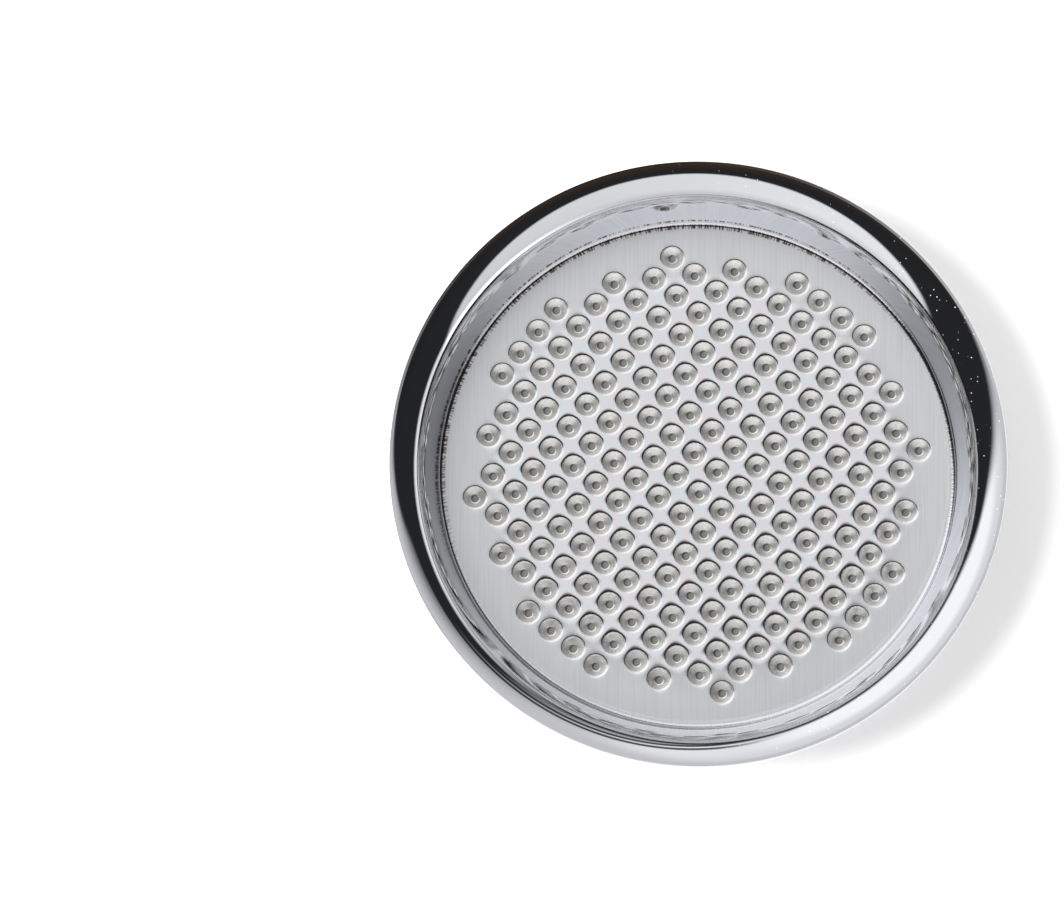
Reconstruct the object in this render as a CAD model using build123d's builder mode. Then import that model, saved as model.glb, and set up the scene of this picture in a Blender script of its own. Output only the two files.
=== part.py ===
from build123d import *
import os
from math import ceil, radians, sin, tan

os.makedirs("parts", exist_ok=True)

# Driving dimensions, in millimetres and degrees.
# The screen lies on its back with its mouth up: +Z is its axis, and Z = 0 is its underside.
sheet = 0.85  # thickness of the stainless sheet
rim_diameter = 60.0  # over the flared rim
rim_rise = 5.0  # slope of the rim's last stretch above level
rim_flat = 0.1  # straight stretch of the rim between its bend and its edge
flare_radius = 4.2  # bend between wall and rim, on the inside face
flare_facets = 4  # short flats that the section's bend is made of
cup_depth = 6.1  # from the rim's edge down to the floor
wall_lean = 18.0  # how far the wall leans out from the axis
floor_bend = 0.9  # bend between floor and wall, on the inside face
floor_bend_facets = 2
pitch = 2.8  # spacing of the dimples, both ways
land = 0.34  # floor left between the mouths of two dimples
margin = 3.2  # from the outermost dimple centres to the wall's line
field_turn = 51.2  # how far the rows are turned about the axis
hole_diameter = 0.8  # across the pierced hole, where the dimple comes out below
dimple_sides = 8  # flats that each cone is made of

floor_top = sheet
rim_top = floor_top + cup_depth
mouth_diameter = pitch - land

# Corners of the inside face in section: the throat is where the wall's line meets the rim's,
# just so far in from the rim's edge that the bend between them has its room
flare_turn = 90 - wall_lean - rim_rise
rim_width = flare_radius * tan(radians(flare_turn) / 2) + rim_flat
rim_edge = Vector(rim_diameter / 2 - sheet * sin(radians(rim_rise)), rim_top)
throat = rim_edge - Vector(rim_width, 0).rotate(Axis.Z, rim_rise)
floor_corner = Vector(throat.X - (throat.Y - floor_top) * tan(radians(wall_lean)), floor_top)
floor_centre = Vector(0, floor_top)


def bend(before, corner, after, radius, facets, depth):
    """Points along a bend of the sheet, facets apart, at a depth below the inside face."""
    come = (corner - before).normalized()
    turn = come.get_signed_angle(after - corner, Axis.Z.direction)
    start = corner - come * radius * tan(radians(abs(turn)) / 2)
    centre = start + come.rotate(Axis.Z, 90 if turn > 0 else -90) * radius
    arm = start + come.rotate(Axis.Z, -90) * depth - centre
    return [centre + arm.rotate(Axis.Z, turn * step / facets) for step in range(facets + 1)]


def face_at(depth):
    """The floor, wall and flared rim in section, as far below the inside face as depth says."""
    below_rim = (rim_edge - throat).normalized().rotate(Axis.Z, -90) * depth
    return [
        floor_centre - Vector(0, depth),
        *bend(floor_centre, floor_corner, throat, floor_bend, floor_bend_facets, depth),
        *bend(floor_corner, throat, rim_edge, flare_radius, flare_facets, depth),
        rim_edge + below_rim,
    ]


# The dimples' centres: a square grid with the axis in the middle of a cell
field_radius = floor_corner.X - margin
reach = ceil(field_radius / pitch)
steps = [(step + 0.5) * pitch for step in range(-reach, reach)]
grid = [Vector(x, y).rotate(Axis.Z, field_turn) for x in steps for y in steps]
dimple_centres = [centre for centre in grid if centre.length < field_radius]
print(len(dimple_centres), "dimples")

# One dimple, as the punch that makes it: tapered blades, each of which leaves two opposite sides
with BuildPart() as punch:
    for blade in range(dimple_sides // 2):
        with BuildSketch(Plane.XZ.rotated((0, 0, field_turn + blade * 360 / dimple_sides))):
            with BuildLine():
                Polyline(
                    (-hole_diameter / 2, 0),
                    (hole_diameter / 2, 0),
                    (mouth_diameter / 2, floor_top),
                    (-mouth_diameter / 2, floor_top),
                    close=True,
                )
            make_face()
        extrude(amount=mouth_diameter, both=True, mode=Mode.INTERSECT if blade else Mode.ADD)

# The drawn sheet cup, then its dimples, pierced through
with BuildPart() as shower_screen:
    with BuildSketch(Plane.XZ):
        with BuildLine():
            Polyline(*face_at(0), *reversed(face_at(sheet)), close=True)
        make_face()
    revolve(axis=Axis.Z)
    with Locations(*dimple_centres):
        add(punch.part, mode=Mode.SUBTRACT)

shower_screen.part.label = "shower_screen"
export_step(shower_screen.part, "parts/shower_screen.step")
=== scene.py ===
from math import atan2, ceil, copysign, cos, pi, radians, sin, tan

import bpy
from mathutils import Matrix, Vector


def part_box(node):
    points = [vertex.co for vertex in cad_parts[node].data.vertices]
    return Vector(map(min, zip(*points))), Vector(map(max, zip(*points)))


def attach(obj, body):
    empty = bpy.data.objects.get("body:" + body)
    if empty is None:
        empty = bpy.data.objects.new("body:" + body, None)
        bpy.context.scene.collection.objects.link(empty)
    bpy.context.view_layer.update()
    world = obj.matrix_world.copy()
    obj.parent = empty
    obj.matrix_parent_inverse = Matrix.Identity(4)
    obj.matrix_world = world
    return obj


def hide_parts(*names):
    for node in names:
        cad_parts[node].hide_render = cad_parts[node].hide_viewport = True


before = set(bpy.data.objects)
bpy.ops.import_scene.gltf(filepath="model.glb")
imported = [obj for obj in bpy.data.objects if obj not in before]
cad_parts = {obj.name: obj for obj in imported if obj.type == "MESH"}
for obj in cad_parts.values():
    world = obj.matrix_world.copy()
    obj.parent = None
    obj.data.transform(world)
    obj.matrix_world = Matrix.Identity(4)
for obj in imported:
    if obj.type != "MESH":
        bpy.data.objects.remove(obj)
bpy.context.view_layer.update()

metre = 1000.0  # the screen is modelled in millimetres and brought to metres when it is whole
near = 0.001    # millimetres within which two places are one
boxLow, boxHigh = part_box("shower_screen")
rimAcross = (boxHigh.x - boxLow.x) * metre
screenHigh = (boxHigh.z - boxLow.z) * metre


def soloSelect(piece):
    bpy.ops.object.select_all(action="DESELECT")
    piece.select_set(True)
    bpy.context.view_layer.objects.active = piece


def selectWhere(piece, kind, test):
    # picks, in edit mode, vertices by their place, edges by both ends, or faces by their middle
    bpy.ops.mesh.select_mode(type=kind)
    bpy.ops.mesh.select_all(action="DESELECT")
    bpy.ops.object.mode_set(mode="OBJECT")
    mesh = piece.data
    if kind == "VERT":
        for vertex in mesh.vertices:
            vertex.select = test(vertex.co)
    elif kind == "EDGE":
        for edge in mesh.edges:
            edge.select = all(test(mesh.vertices[end].co) for end in edge.vertices)
    else:
        for face in mesh.polygons:
            face.select = test(face.center)
    bpy.ops.object.mode_set(mode="EDIT")


def fromAxis(place):
    return Vector((place.x, place.y)).length


def roundedPath(corners):
    # a line through corners (out, up, radius, flats), each rounded by that many short flats
    points = [Vector(corners[0][:2])]
    for before, corner, after in zip(corners, corners[1:], corners[2:]):
        here = Vector(corner[:2])
        come = (here - Vector(before[:2])).normalized()
        leave = (Vector(after[:2]) - here).normalized()
        turn = (atan2(leave.y, leave.x) - atan2(come.y, come.x) + pi) % (2 * pi) - pi
        radius, flats = corner[2:]
        start = here - come * radius * tan(abs(turn) / 2)
        side = Vector((-come.y, come.x)) * copysign(radius, turn)
        for flat in range(flats + 1):
            points.append(start + side + Matrix.Rotation(turn * flat / max(flats, 1), 2) @ -side)
    points.append(Vector(corners[-1][:2]))
    return points


def extrudeRings(path):
    # draws the selected ring out along the path, ring by ring, about the axis
    for now, then in zip(path, path[1:]):
        bpy.ops.mesh.extrude_region_move(TRANSFORM_OT_translate={"value": (0, 0, then.y - now.y)})
        grow = then.x / now.x
        bpy.ops.transform.resize(value=(grow, grow, 1), center_override=(0, 0, then.y))


# The drawn cup: floor, wall and flared rim

cup = {
    "sheet": 0.85,
    "rimRise": 5.0,             # slope of the rim's last stretch
    "rimFlat": 0.1,             # straight stretch outside the bend
    "flareRadius": 4.2,         # bend between wall and rim, inside
    "flareFlats": (24, 12),     # what the bend is made of, inside and below
    "wallLean": 18.0,           # the wall leans out from the axis
    "floorBend": 0.55,          # bend between floor and wall, inside
    "floorBendFlats": (12, 8),
    "edgeRadius": 0.36,         # the cut edge of the sheet, rounded over
    "edgeFlats": 4,
    "support": 0.25,            # flat ring kept beside the floor's bend
    "around": 256,              # faces round the rim
    "smoothBelow": 40.0,        # edges that turn less than this are shaded smooth
}


def cupSection():
    # corners of the inside face and of the outside face, a sheet's thickness apart
    rise, lean, sheet = radians(cup["rimRise"]), radians(cup["wallLean"]), cup["sheet"]
    flareTurn = pi / 2 - lean - rise
    rimWidth = cup["flareRadius"] * tan(flareTurn / 2) + cup["rimFlat"]
    edge = Vector((rimAcross / 2 - sheet * sin(rise), screenHigh))
    throat = edge - Vector((rimWidth * cos(rise), rimWidth * sin(rise)))
    corner = Vector((throat.x - (throat.y - sheet) * tan(lean), sheet))
    underEdge = edge + Vector((sin(rise), -cos(rise))) * sheet
    underThroat = throat + Vector((tan(flareTurn / 2) * cos(rise) + sin(rise),
                                   tan(flareTurn / 2) * sin(rise) - cos(rise))) * sheet
    underCorner = corner + Vector((tan((pi / 2 - lean) / 2), -1)) * sheet
    flat = corner.x - cup["floorBend"] * tan((pi / 2 - lean) / 2) - cup["support"]
    flareFlats, underFlareFlats = cup["flareFlats"]
    bendFlats, underBendFlats = cup["floorBendFlats"]
    return corner, [
        (flat, sheet),
        (*corner, cup["floorBend"], bendFlats),
        (*throat, cup["flareRadius"], flareFlats),
        (*edge, cup["edgeRadius"], cup["edgeFlats"]),
        (*underEdge, cup["edgeRadius"], cup["edgeFlats"]),
        (*underThroat, cup["flareRadius"] - sheet, underFlareFlats),
        (*underCorner, cup["floorBend"] + sheet, underBendFlats),
        (flat, 0),
    ]


floorCorner, section = cupSection()


def drawCup():
    path = roundedPath(section)
    bpy.ops.object.select_all(action="DESELECT")
    bpy.ops.mesh.primitive_circle_add(
        vertices=cup["around"], radius=path[0].x, location=(0, 0, path[0].y),
    )
    piece = bpy.context.object
    bpy.ops.object.transform_apply()
    bpy.ops.object.mode_set(mode="EDIT")
    bpy.ops.mesh.select_mode(type="VERT")
    bpy.ops.mesh.select_all(action="SELECT")
    extrudeRings(path)
    bpy.ops.object.mode_set(mode="OBJECT")
    return piece


# The dimples: one is modelled with its share of the floor, and copied over the field

dimple = {
    "pitch": 2.8,
    "turn": 51.2,           # of the rows about the axis
    "margin": 3.2,          # from the outermost centres to the wall's line
    "mouth": 2.50,
    "brim": 0.04,           # flat ring kept round the mouth
    "lipRadius": 0.42,      # the floor rolls into the cone
    "lipFlats": 3,
    "slope": 48.0,          # of the cone's side
    "seat": 0.98,           # across the narrow end of the cone, where a shallow seat begins
    "seatSlope": 6.0,       # of the seat, down to the hole
    "seatBend": 0.12,
    "seatFlats": 2,
    "hole": 0.8,
    "satinAcross": 2.22,    # the punch leaves its own dull finish from here down
    "sides": 16,            # a multiple of eight, so that the square bridges to it squarely
    "away": 1.0,            # how far the cell's outline is held off while it is bridged, untwisted
}
fieldRadius = floorCorner.x - dimple["margin"]


def punchDimple():
    sheet, pitch, slope = cup["sheet"], dimple["pitch"], radians(dimple["slope"])
    mouth, seat, hole = dimple["mouth"], dimple["seat"], dimple["hole"]
    coneTop = mouth / 2 - dimple["lipRadius"] * tan(slope / 2)
    seatDown = (coneTop - seat / 2) * tan(slope)
    holeDown = seatDown + (seat - hole) / 2 * tan(radians(dimple["seatSlope"]))
    path = roundedPath([
        (mouth / 2 + dimple["brim"], sheet),
        (coneTop, sheet, dimple["lipRadius"], dimple["lipFlats"]),
        (seat / 2, sheet - seatDown, dimple["seatBend"], dimple["seatFlats"]),
        (hole / 2, sheet - holeDown, 0, 0),
        (hole / 2, 0),
    ])
    away = dimple["away"]
    bpy.ops.object.select_all(action="DESELECT")
    bpy.ops.mesh.primitive_plane_add(size=pitch, location=(0, 0, sheet + away))
    piece = bpy.context.object
    bpy.ops.object.transform_apply()
    bpy.ops.object.mode_set(mode="EDIT")
    bpy.ops.mesh.subdivide(number_cuts=dimple["sides"] // 4 - 1)
    selectWhere(piece, "VERT", lambda place: max(abs(place.x), abs(place.y)) < pitch / 2 - near)
    bpy.ops.mesh.delete(type="VERT")
    bpy.ops.mesh.select_all(action="SELECT")
    bpy.ops.mesh.duplicate_move(TRANSFORM_OT_translate={"value": (0, 0, -sheet - 2 * away)})
    bpy.ops.mesh.select_all(action="DESELECT")
    bpy.ops.mesh.primitive_circle_add(vertices=dimple["sides"], radius=path[0].x, location=(0, 0, sheet))
    extrudeRings(path)
    for ring, square in ((path[0], sheet + away), (path[-1], -away)):
        def onSquare(place):
            return abs(place.z - square) < near

        def openEdge(place):
            onRing = abs(fromAxis(place) - ring.x) < near and abs(place.z - ring.y) < near
            return onRing or onSquare(place)

        selectWhere(piece, "EDGE", openEdge)
        bpy.ops.mesh.bridge_edge_loops()
        selectWhere(piece, "VERT", onSquare)
        bpy.ops.transform.translate(value=(0, 0, ring.y - square))
    bpy.ops.object.mode_set(mode="OBJECT")
    return piece


def spreadDimples(piece):
    # a square grid with the axis in the middle of a cell, cut back to a round field
    pitch = dimple["pitch"]
    reach = ceil(fieldRadius / pitch)
    piece.location = ((0.5 - reach) * pitch, (0.5 - reach) * pitch, 0)
    bpy.ops.object.transform_apply()
    for along in ((pitch, 0, 0), (0, pitch, 0)):
        rows = piece.modifiers.new("rows", "ARRAY")
        rows.count = 2 * reach
        rows.use_relative_offset = False
        rows.use_constant_offset = True
        rows.constant_offset_displace = along
        rows.use_merge_vertices = True
        rows.merge_threshold = near
        bpy.ops.object.modifier_apply(modifier=rows.name)

    def outside(place):
        cell = Vector((place.x // pitch + 0.5, place.y // pitch + 0.5)) * pitch
        return cell.length > fieldRadius

    bpy.ops.object.mode_set(mode="EDIT")
    selectWhere(piece, "FACE", outside)
    bpy.ops.mesh.delete(type="FACE")
    bpy.ops.object.mode_set(mode="OBJECT")
    piece.rotation_euler.z = radians(dimple["turn"])
    bpy.ops.object.transform_apply()
    return piece


# Finishes of the sheet: polished all over, and dull inside the cones, where the punch has been

def addNode(tree, kind, inputs=(), **settings):
    made = tree.nodes.new(kind)
    for name, value in settings.items():
        setattr(made, name, value)
    for socket, value in dict(inputs).items():
        if isinstance(value, bpy.types.NodeSocket):
            tree.links.new(value, made.inputs[socket])
        else:
            made.inputs[socket].default_value = value
    return made


def newMaterial(name):
    material = bpy.data.materials.new(name)
    material.use_nodes = True
    return material, material.node_tree, material.node_tree.nodes["Principled BSDF"]


def mathNode(tree, operation, *values, clamp=False):
    made = addNode(tree, "ShaderNodeMath", dict(enumerate(values)), operation=operation)
    made.use_clamp = clamp
    return made.outputs[0]


def product(tree, first, *others):
    for other in others:
        first = mathNode(tree, "MULTIPLY", first, other)
    return first


def vectorMath(tree, operation, first, second):
    made = addNode(tree, "ShaderNodeVectorMath", {0: first, 1: second}, operation=operation)
    return made.outputs["Value" if operation == "DOT_PRODUCT" else "Vector"]


def combined(tree, x, y, z):
    return addNode(tree, "ShaderNodeCombineXYZ", {"X": x, "Y": y, "Z": z}).outputs["Vector"]


def ramp(tree, value, start, end, low=0.0, high=1.0):
    return addNode(tree, "ShaderNodeMapRange", {
        "Value": value, "From Min": start, "From Max": end, "To Min": low, "To Max": high,
    }, interpolation_type="SMOOTHSTEP").outputs["Result"]


def ringMask(tree, out, inner, outer):
    # full between two radii, and faded out over a little way on either side
    return product(tree, ramp(tree, out, *inner), ramp(tree, out, *outer))


def mixColours(tree, factor, first, second):
    made = addNode(tree, "ShaderNodeMix", {"Factor": factor, 6: first, 7: second}, data_type="RGBA")
    return made.outputs[2]


def newGroup(name, inputs, outputs):
    group = bpy.data.node_groups.new(name, "ShaderNodeTree")
    for socket, kind in inputs:
        group.interface.new_socket(socket, in_out="INPUT", socket_type=kind)
    for socket in outputs:
        group.interface.new_socket(socket, in_out="OUTPUT", socket_type="NodeSocketFloat")
    return group, group.nodes.new("NodeGroupInput"), group.nodes.new("NodeGroupOutput")


speckEdge = (0.27, 0.11)    # of a cell: where a speck begins to show, and where it is full


def fineLinesGroup():
    # noise, drawn out into lines by the stretched coordinates that it is given,
    # and specks in the share of its cells that Specks names
    inputs = [
        ("Vector", "NodeSocketVector"),
        ("Slow Change", "NodeSocketFloat"),
        ("Specks", "NodeSocketFloat"),
    ]
    group, given, made = newGroup("fine_lines", inputs, ["Lines", "Specks"])
    vector, slowChange, share = (given.outputs[name] for name, kind in inputs)
    noise = addNode(group, "ShaderNodeTexNoise", {
        "Vector": vector, "W": slowChange, "Scale": 1.0, "Detail": 2.0, "Roughness": 0.4,
    }, noise_dimensions="4D")
    cells = addNode(group, "ShaderNodeTexVoronoi", {
        "Vector": vector, "W": slowChange, "Scale": 1.0,
    }, voronoi_dimensions="4D")
    chance = addNode(group, "ShaderNodeSeparateColor", {"Color": cells.outputs["Color"]}).outputs[0]
    kept = mathNode(group, "LESS_THAN", chance, share)
    specks = product(group, kept, ramp(group, cells.outputs["Distance"], *speckEdge))
    group.links.new(noise.outputs["Fac"], made.inputs["Lines"])
    group.links.new(specks, made.inputs["Specks"])
    return group


fineLines = fineLinesGroup()


def lines(tree, vector, slowChange=0.0, specks=0.0):
    return addNode(tree, "ShaderNodeGroup", {
        "Vector": vector, "Slow Change": slowChange, "Specks": specks,
    }, node_tree=fineLines).outputs


def placeOnSheet(tree):
    # object coordinates in millimetres
    return addNode(tree, "ShaderNodeVectorMath", {
        0: addNode(tree, "ShaderNodeTexCoord").outputs["Object"], "Scale": metre,
    }, operation="SCALE").outputs["Vector"]


def apart(tree, place):
    return addNode(tree, "ShaderNodeSeparateXYZ", {"Vector": place}).outputs


def distanceOut(tree, place):
    level = vectorMath(tree, "MULTIPLY", place, (1, 1, 0))
    return addNode(tree, "ShaderNodeVectorMath", {0: level}, operation="LENGTH").outputs["Value"]


def bumpFrom(tree, height):
    bump = addNode(tree, "ShaderNodeBump", {"Strength": 1.0, "Distance": 1 / metre, "Height": height})
    return bump.outputs["Normal"]


swelling = 0.15     # how far the floor would sink at a dimple's middle


def swell(tree, x, y):
    # between the dimples the sheet is left a little domed, cell by cell
    turn, pitch = radians(dimple["turn"]), dimple["pitch"]
    height = -swelling
    away = 0.0
    for along, aside in ((cos(turn), sin(turn)), (-sin(turn), cos(turn))):
        side = mathNode(tree, "MULTIPLY", x, along / pitch)
        side = mathNode(tree, "MULTIPLY_ADD", y, aside / pitch, side)
        wave = mathNode(tree, "SINE", product(tree, side, pi))
        height = mathNode(tree, "MULTIPLY", height, product(tree, wave, wave))
        middle = mathNode(tree, "ADD", mathNode(tree, "FLOOR", side), 0.5)
        away = mathNode(tree, "MULTIPLY_ADD", middle, middle, away)
    return product(tree, height, mathNode(tree, "LESS_THAN", away, (fieldRadius / pitch) ** 2))


# Of a pair of numbers below, a finish begins to show at the first and is full at the second.
# They are millimetres from the axis where nothing else is said, and levels of the noise in a split.
polish = {
    "colour": (0.675, 0.68, 0.71, 1),
    "roughness": 0.05,
    "floorEnds": (25.0, 24.6),
    # between the dimples, faintly clouded
    "landColours": ((0.76, 0.80, 0.84, 1), (0.81, 0.77, 0.80, 1)),
    "landClouds": (0.9, 0.9, 0.0),          # a millimetre: across, along and up
    "landSplit": (0.4, 0.6),
    # brushed, from the dimples to the wall
    "brushedFrom": (17.5, 22.5),
    "brushedRoughness": 0.50,
    "lipHeights": (0.841, 0.8485),          # the dimples' lips, lower than the floor, are left bright
    "marginColours": ((0.96, 0.98, 1, 1), (0.90, 0.92, 0.955, 1)),
    "marginSplit": (0.4, 0.7),
    "milky": 0.08,                          # how much of it scatters like paint
    # the floor's lines run straight, and beyond it round
    "straightLines": (6.0, 0.12, 0.0),
    "straightHeight": 0.0008,
    "roundLines": 4.5,
    "roundChange": 9.0,                     # millimetres along them
    "roundHeight": 0.0008,
    # marks of the die in the floor's corner, and along them painted shade, a dark line, tick by tick,
    # toward the top
    "ticks": (170, 1.2),                    # round it and across it
    "ticksBetween": ((24.4, 24.6), (25.5, 25.3)),
    "ticksHeight": 0.02,
    "creaseShadeColour": (0.16, 0.115, 0.10, 1),
    "creaseShadeBetween": ((24.50, 24.65), (25.05, 24.95)),
    "creaseShadeSplit": (0.44, 0.56),
    "creaseShadeTop": (0.0, 16.0),                # toward the top, as in edgeReflectionTop
    "topLeans": -0.5,                       # to the left
    # the rim is handled most, and a little worn; toward the top its cut edge has a painted warm
    # reflection
    "wornColour": (0.60, 0.605, 0.635, 1),
    "wornFrom": (28.6, 29.4),
    "edgeReflectionColour": (0.72, 0.69, 0.66, 1),
    "edgeReflectionFrom": (29.7, 29.9),
    "edgeReflectionTop": (-10.0, 10.0),
    # dust lies on the flare, to the right
    "dustColour": (0.80, 0.79, 0.77, 1),
    "dustFrom": (26.5, 27.5),
    "dustRight": (-8.0, 16.0),
    "dustCells": (3.4, 3.4, 3.4),           # a millimetre
    "dust": 0.27,                           # the share of the cells that hold a speck
}


def polishedSteel():
    material, tree, shader = newMaterial("polished_stainless")
    place = placeOnSheet(tree)
    x, y, z = apart(tree, place)
    out = distanceOut(tree, place)
    onFloor = ramp(tree, out, *polish["floorEnds"])
    beyond = mathNode(tree, "SUBTRACT", 1.0, onFloor)
    inMargin = product(
        tree, ramp(tree, out, *polish["brushedFrom"]), ramp(tree, z, *polish["lipHeights"]),
    )
    brushed = product(tree, onFloor, inMargin)
    top = mathNode(tree, "MULTIPLY_ADD", x, polish["topLeans"], y)

    straight = lines(tree, vectorMath(tree, "MULTIPLY", place, polish["straightLines"]))["Lines"]
    curved = lines(
        tree,
        combined(
            tree, product(tree, out, polish["roundLines"]), product(tree, z, polish["roundLines"]),
            mathNode(tree, "DIVIDE", x, polish["roundChange"]),
        ),
        mathNode(tree, "DIVIDE", y, polish["roundChange"]),
    )["Lines"]
    roundCorner, acrossCorner = polish["ticks"]
    ticks = lines(tree, combined(
        tree,
        product(tree, mathNode(tree, "DIVIDE", x, out), roundCorner),
        product(tree, mathNode(tree, "DIVIDE", y, out), roundCorner),
        product(tree, out, acrossCorner),
    ))["Lines"]

    height = product(tree, straight, polish["straightHeight"], onFloor)
    curvedHeight = product(tree, curved, polish["roundHeight"])
    height = mathNode(tree, "MULTIPLY_ADD", curvedHeight, beyond, height)
    inCorner = ringMask(tree, out, *polish["ticksBetween"])
    height = mathNode(tree, "ADD", height, product(tree, ticks, polish["ticksHeight"], inCorner))
    height = mathNode(tree, "ADD", height, swell(tree, x, y))
    tree.links.new(bumpFrom(tree, height), shader.inputs["Normal"])

    dull = product(tree, brushed, polish["brushedRoughness"] - polish["roughness"])
    roughness = mathNode(tree, "ADD", polish["roughness"], dull)
    tree.links.new(roughness, shader.inputs["Roughness"])

    clouds = lines(tree, vectorMath(tree, "MULTIPLY", place, polish["landClouds"]))["Lines"]
    lands = mixColours(tree, ramp(tree, clouds, *polish["landSplit"]), *polish["landColours"])
    margin = mixColours(tree, ramp(tree, straight, *polish["marginSplit"]), *polish["marginColours"])
    colour = mixColours(tree, inMargin, lands, margin)
    colour = mixColours(tree, onFloor, polish["colour"], colour)
    # painted shade: a dark line along the floor's corner, tick by tick, toward the top
    creaseShade = product(
        tree, ringMask(tree, out, *polish["creaseShadeBetween"]), ramp(tree, ticks, *polish["creaseShadeSplit"]),
        ramp(tree, top, *polish["creaseShadeTop"]),
    )
    colour = mixColours(tree, creaseShade, colour, polish["creaseShadeColour"])
    worn = ramp(tree, out, *polish["wornFrom"])
    colour = mixColours(tree, worn, colour, polish["wornColour"])
    # painted reflection: a warm pale line along the rim's cut edge, toward the top
    edge = product(tree, ramp(tree, top, *polish["edgeReflectionTop"]), ramp(tree, out, *polish["edgeReflectionFrom"]))
    colour = mixColours(tree, edge, colour, polish["edgeReflectionColour"])
    grains = lines(
        tree, vectorMath(tree, "MULTIPLY", place, polish["dustCells"]), specks=polish["dust"],
    )["Specks"]
    dust = product(
        tree, grains, ramp(tree, out, *polish["dustFrom"]), ramp(tree, x, *polish["dustRight"]),
    )
    colour = mixColours(tree, dust, colour, polish["dustColour"])
    tree.links.new(colour, shader.inputs["Base Color"])

    metallic = mathNode(tree, "MULTIPLY_ADD", brushed, -polish["milky"], 1.0)
    metallic = mathNode(tree, "SUBTRACT", metallic, dust, clamp=True)
    tree.links.new(metallic, shader.inputs["Metallic"])
    return material


satin = {
    "colours": ((0.99, 0.985, 0.965, 1), (0.88, 0.875, 0.855, 1)),
    "split": (0.35, 0.65),
    "grain": (5.0, 5.0, 5.0),
    "grainHeight": 0.012,
    "roughness": (0.30, 0.45),  # on the seat, and on the cone above it
    "seatTop": (0.28, 0.32),    # height at which the one passes into the other
    "metallic": 0.95,
}


def satinSteel():
    material, tree, shader = newMaterial("satin_punched_stainless")
    place = placeOnSheet(tree)
    mottle = lines(tree, vectorMath(tree, "MULTIPLY", place, satin["grain"]))["Lines"]
    colour = mixColours(tree, ramp(tree, mottle, *satin["split"]), *satin["colours"])
    tree.links.new(colour, shader.inputs["Base Color"])
    grain = product(tree, mottle, satin["grainHeight"])
    tree.links.new(bumpFrom(tree, grain), shader.inputs["Normal"])
    height = apart(tree, place)["Z"]
    roughness = ramp(tree, height, *satin["seatTop"], *satin["roughness"])
    tree.links.new(roughness, shader.inputs["Roughness"])
    shader.inputs["Metallic"].default_value = satin["metallic"]
    return material


finishes = [polishedSteel(), satinSteel()]
print("finishes mixed")


def finishDimple(piece):
    for finish in finishes:
        piece.data.materials.append(finish)
    for face in piece.data.polygons:
        inCone = 2 * fromAxis(face.center) < dimple["satinAcross"]
        face.material_index = inCone and face.center.z > near
    return piece


def buildScreen():
    field = spreadDimples(finishDimple(punchDimple()))
    piece = drawCup()
    piece.data.materials.append(finishes[0])
    soloSelect(piece)
    field.select_set(True)
    bpy.ops.object.join()
    bpy.ops.object.mode_set(mode="EDIT")
    bpy.ops.mesh.select_mode(type="EDGE")
    for height in (cup["sheet"], 0):
        # fills the floor between the field and the cup, above and then below
        bpy.ops.mesh.select_all(action="DESELECT")
        bpy.ops.mesh.select_non_manifold(extend=False)
        bpy.ops.object.mode_set(mode="OBJECT")
        for edge in piece.data.edges:
            first, last = (piece.data.vertices[index].co for index in edge.vertices)
            edge.select = edge.select and abs((first.z + last.z) / 2 - height) < near
        bpy.ops.object.mode_set(mode="EDIT")
        bpy.ops.mesh.fill()
    bpy.ops.mesh.select_all(action="SELECT")
    bpy.ops.mesh.remove_doubles(threshold=near)
    bpy.ops.mesh.normals_make_consistent(inside=False)
    bpy.ops.object.mode_set(mode="OBJECT")
    piece.scale = (1 / metre,) * 3
    bpy.ops.object.transform_apply()
    bpy.ops.object.shade_smooth_by_angle(angle=radians(cup["smoothBelow"]))
    piece.name = piece.data.name = "drawn_screen"
    return piece


drawnScreen = buildScreen()
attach(drawnScreen, "root")
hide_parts("shower_screen")
print("screen modelled:", len(drawnScreen.data.polygons), "faces")


# Surroundings: a pale table in front, a large soft light behind and to the left, dark between them

studio = {
    "dark": 0.035,
    "plainFrom": 0.14,                      # level from which light is no longer tinted as the dark is
    # each patch of light ends where its directions cross a plane:
    # the plane's normal, its offset, and how softly the patch ends
    "table": 1.30,
    "tableEdge": ((0.090, -0.981, -0.170), 0.320, 0.04),
    "tableLessToRight": 0.22,
    "tableDim": 0.22,                       # toward the horizon
    "tableDimFrom": (0.4, 0.0),
    "softbox": 1.10,
    "softboxEdges": (
        ((-0.253, 0.224, -0.941), -0.917, 0.03),
        ((-0.696, 0.501, -0.514), -0.604, 0.03),
        ((0.991, -0.039, 0.125), -0.808, 0.06),
        ((-0.091, 0.878, 0.470), 0.565, 0.06),
    ),
    "softboxFoot": (0.06, 0.24),
    "brighter": 0.28,
    "brighterSide": ((-0.597, 0.697, 0.398), 0.68, 0.07),
    "bright": 0.30,
    "brightSide": ((-0.655, 0.644, 0.396), 0.855, 0.063),
    "shade": ((0.904, -0.223, -0.366), 0.086, 0.371),
    "shadeDepth": 1.27,
    "frame": (-0.493, -0.236, 0.837),       # a dark bar across the softbox
    "frameWide": (0.15, 0.12),
    "frameGap": (0.02, 0.05),               # and a slit of light along its middle
    "frameFrom": (-0.24, 0.0),
    "frameDepth": 0.90,
    "strip": 1.4,                           # low on the right
    "stripBelow": (0.25, 0.1),
    "stripFrom": (0.3, 0.9),
    "white": (1, 1, 1, 1),                  # behind the paper
    "plain": (0.8, 0.8, 0.8, 1),            # whatever is lit
    "cool": (0.70, 0.72, 0.78, 1),          # the dark
    "warm": (1.45, 0.95, 0.70, 1),          # the dark straight overhead
    "overhead": (0.95, 0.995),              # heights at which the cool passes into the warm
}


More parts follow.
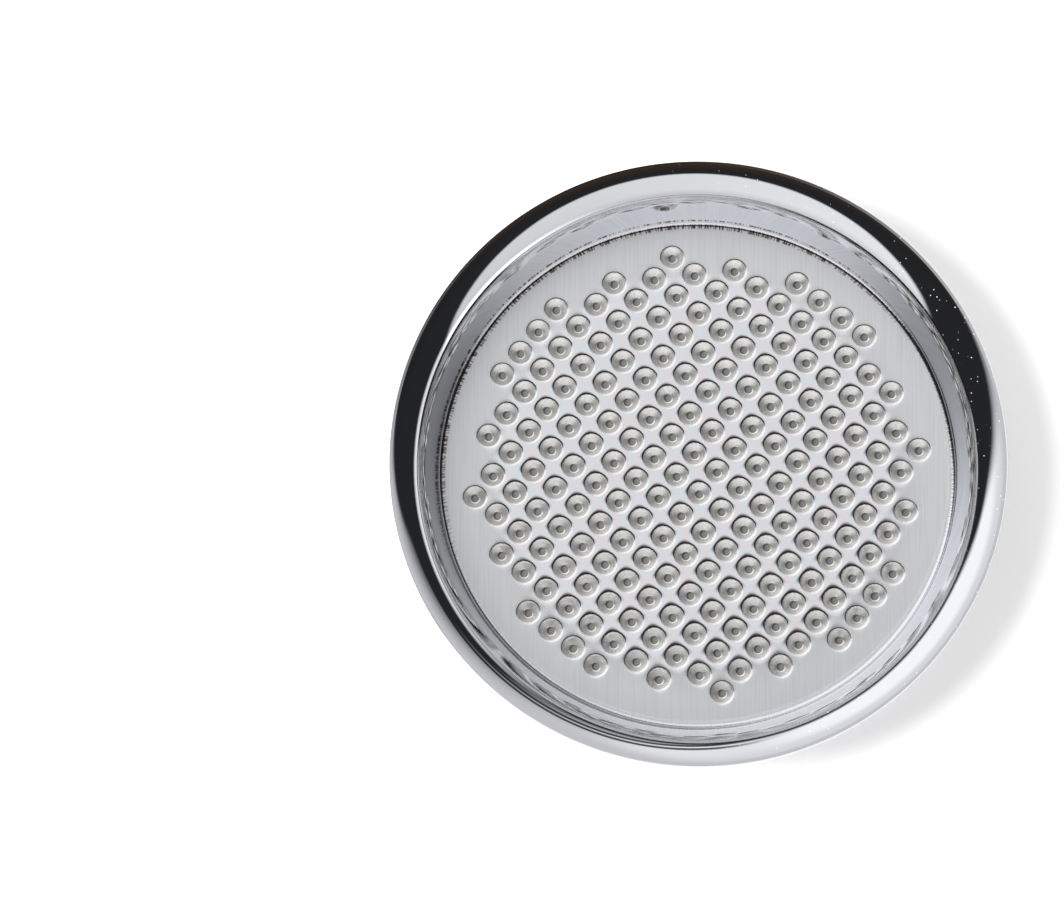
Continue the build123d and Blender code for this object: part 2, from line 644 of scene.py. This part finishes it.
def lightStudio():
    world = bpy.data.worlds.new("studio")
    bpy.context.scene.world = world
    world.use_nodes = True
    tree = world.node_tree
    tree.nodes.clear()
    way = addNode(tree, "ShaderNodeTexCoord").outputs["Generated"]
    x, z = (apart(tree, way)[side] for side in "XZ")

    def patch(side, start, soft):
        return ramp(tree, vectorMath(tree, "DOT_PRODUCT", way, side), start - soft, start + soft)

    def dimmed(level, mask, depth):
        return product(tree, level, mathNode(tree, "MULTIPLY_ADD", mask, -depth, 1.0))

    table = mathNode(tree, "MULTIPLY_ADD", x, -studio["tableLessToRight"], studio["table"])
    table = dimmed(table, ramp(tree, z, *studio["tableDimFrom"]), studio["tableDim"])
    table = product(tree, table, patch(*studio["tableEdge"]))

    softbox = studio["softbox"]
    for more, side in (("brighter", "brighterSide"), ("bright", "brightSide")):
        softbox = mathNode(tree, "MULTIPLY_ADD", patch(*studio[side]), studio[more], softbox)
    shade = mathNode(tree, "MULTIPLY", patch(*studio["shade"]), studio["shadeDepth"], clamp=True)
    softbox = product(tree, softbox, mathNode(tree, "SUBTRACT", 1.0, shade))
    aside = mathNode(tree, "ABSOLUTE", vectorMath(tree, "DOT_PRODUCT", way, studio["frame"]))
    bar = product(
        tree, ramp(tree, aside, *studio["frameWide"]), ramp(tree, aside, *studio["frameGap"]),
        ramp(tree, x, *studio["frameFrom"]),
    )
    softbox = dimmed(softbox, bar, studio["frameDepth"])
    softbox = product(tree, softbox, ramp(tree, z, *studio["softboxFoot"]))
    for edge in studio["softboxEdges"]:
        softbox = product(tree, softbox, patch(*edge))

    strip = product(
        tree, ramp(tree, z, *studio["stripBelow"]), ramp(tree, x, *studio["stripFrom"]),
    )
    light = mathNode(tree, "MAXIMUM", table, softbox)
    light = mathNode(tree, "MULTIPLY_ADD", strip, studio["strip"], light)
    light = mathNode(tree, "MAXIMUM", light, studio["dark"])
    tint = mixColours(tree, ramp(tree, z, *studio["overhead"]), studio["cool"], studio["warm"])
    tint = mixColours(tree, ramp(tree, light, studio["dark"], studio["plainFrom"]), tint, studio["plain"])
    surroundings = addNode(tree, "ShaderNodeBackground", {"Color": tint, "Strength": light})
    backdrop = addNode(tree, "ShaderNodeBackground", {"Color": studio["white"], "Strength": 1.0})
    seen = addNode(tree, "ShaderNodeLightPath").outputs["Is Camera Ray"]
    mix = addNode(tree, "ShaderNodeMixShader", {
        0: seen, 1: surroundings.outputs[0], 2: backdrop.outputs[0],
    })
    addNode(tree, "ShaderNodeOutputWorld", {"Surface": mix.outputs[0]})


paper = {
    "across": 6,                            # metres
    "down": 0.00002,                        # clear of the screen's underside
    "colour": (0.8, 0.8, 0.8, 1),
    "underneath": (0.17, 0.17, 0.167, 1),   # what the holes show, in the screen's own shade
    "shadeRadii": (24.0, 25.0),
    "glow": 0.36,
    "roughness": 0.9,
}


def layFloor():
    bpy.ops.object.select_all(action="DESELECT")
    bpy.ops.mesh.primitive_plane_add(size=paper["across"], location=(0, 0, -paper["down"]))
    floor = bpy.context.object
    floor.name = "paper_floor"
    material, tree, shader = newMaterial("white_paper")
    bare = ramp(tree, distanceOut(tree, placeOnSheet(tree)), *paper["shadeRadii"])
    colour = mixColours(tree, bare, paper["underneath"], paper["colour"])
    path = addNode(tree, "ShaderNodeLightPath").outputs
    seen = mathNode(tree, "MAXIMUM", path["Is Camera Ray"], path["Is Glossy Ray"])
    seen = mathNode(tree, "MAXIMUM", seen, path["Is Transmission Ray"])
    tree.links.new(colour, shader.inputs["Base Color"])
    tree.links.new(product(tree, seen, bare), shader.inputs["Emission Color"])
    shader.inputs["Emission Strength"].default_value = paper["glow"]
    shader.inputs["Roughness"].default_value = paper["roughness"]
    floor.data.materials.append(material)


fill = {
    "place": (-0.45, -0.02, 0.43),          # metres
    "size": 0.42,
    "watts": 7.0,
}


def hangFill():
    # lays the shadow to the lower right; the steel doesn't mirror it
    lamp = bpy.data.lights.new("fill", "AREA")
    lamp.shape = "DISK"
    lamp.size = fill["size"]
    lamp.energy = fill["watts"]
    hung = bpy.data.objects.new("fill", lamp)
    bpy.context.scene.collection.objects.link(hung)
    hung.location = fill["place"]
    hung.rotation_euler = Vector(fill["place"]).to_track_quat("Z", "Y").to_euler()
    hung.visible_glossy = False


lightStudio()
layFloor()
hangFill()
print("studio lit")


# Camera: the photograph's view, almost straight down into the cup

camera = {
    "place": (-12.12, -137.97, 669.45),     # millimetres
    "lean": 11.853,
    "sideways": 0.326,
    "roll": 0.07,
    "focalPixels": 7000,
    "imageWide": 1064,
    "sensor": 36,                           # millimetres
    "clipFrom": 0.01,                       # metres
}


def addCamera():
    lens = bpy.data.cameras.new("camera")
    lens.sensor_width = camera["sensor"]
    lens.lens = camera["focalPixels"] / camera["imageWide"] * lens.sensor_width
    lens.clip_start = camera["clipFrom"]
    eye = bpy.data.objects.new("camera", lens)
    bpy.context.scene.collection.objects.link(eye)
    eye.location = Vector(camera["place"]) / metre
    eye.rotation_euler = [radians(camera[turn]) for turn in ("lean", "sideways", "roll")]
    bpy.context.scene.camera = eye


addCamera()
bpy.context.scene.view_settings.view_transform = "Standard"
print("camera placed")
